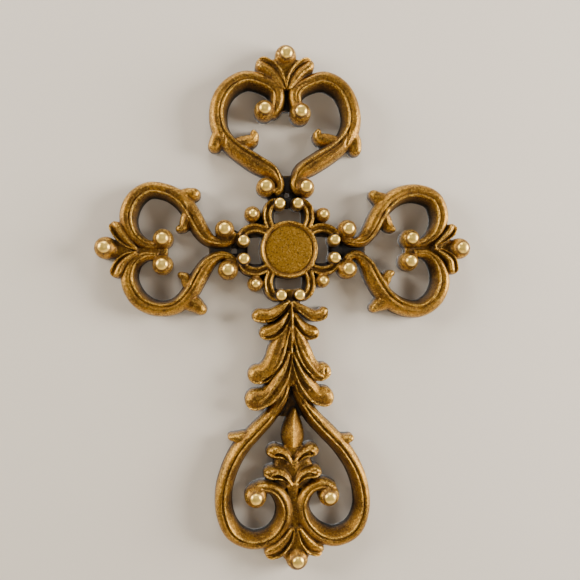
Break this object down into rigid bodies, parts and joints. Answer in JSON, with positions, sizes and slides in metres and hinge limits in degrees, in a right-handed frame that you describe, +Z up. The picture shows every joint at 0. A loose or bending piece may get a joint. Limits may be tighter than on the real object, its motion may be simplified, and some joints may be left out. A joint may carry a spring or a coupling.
{
  "type": "wall cross",
  "caption": "Ornate gold wall cross, one flat-backed casting of paired openwork scrolls, studded balls and a leaf stem around a round medallion, hung by a notch.",
  "frame": {"origin": "the hanging notch between the two top scrolls, in the plane of the flat back", "axes": "+X to the right as seen from the front, +Y into the wall, +Z up; the carved front faces -Y and the flat back lies in the plane y = 0"},
  "size_m": [0.208, 0.014, 0.2883],
  "materials": {
    "antique_gold": "sand-cast surface with worn antique gold over near-black recesses, brighter gilt studs"
  },
  "bodies": {
    "root": {"wall_cross": "antique_gold"}
  },
  "joints": []
}
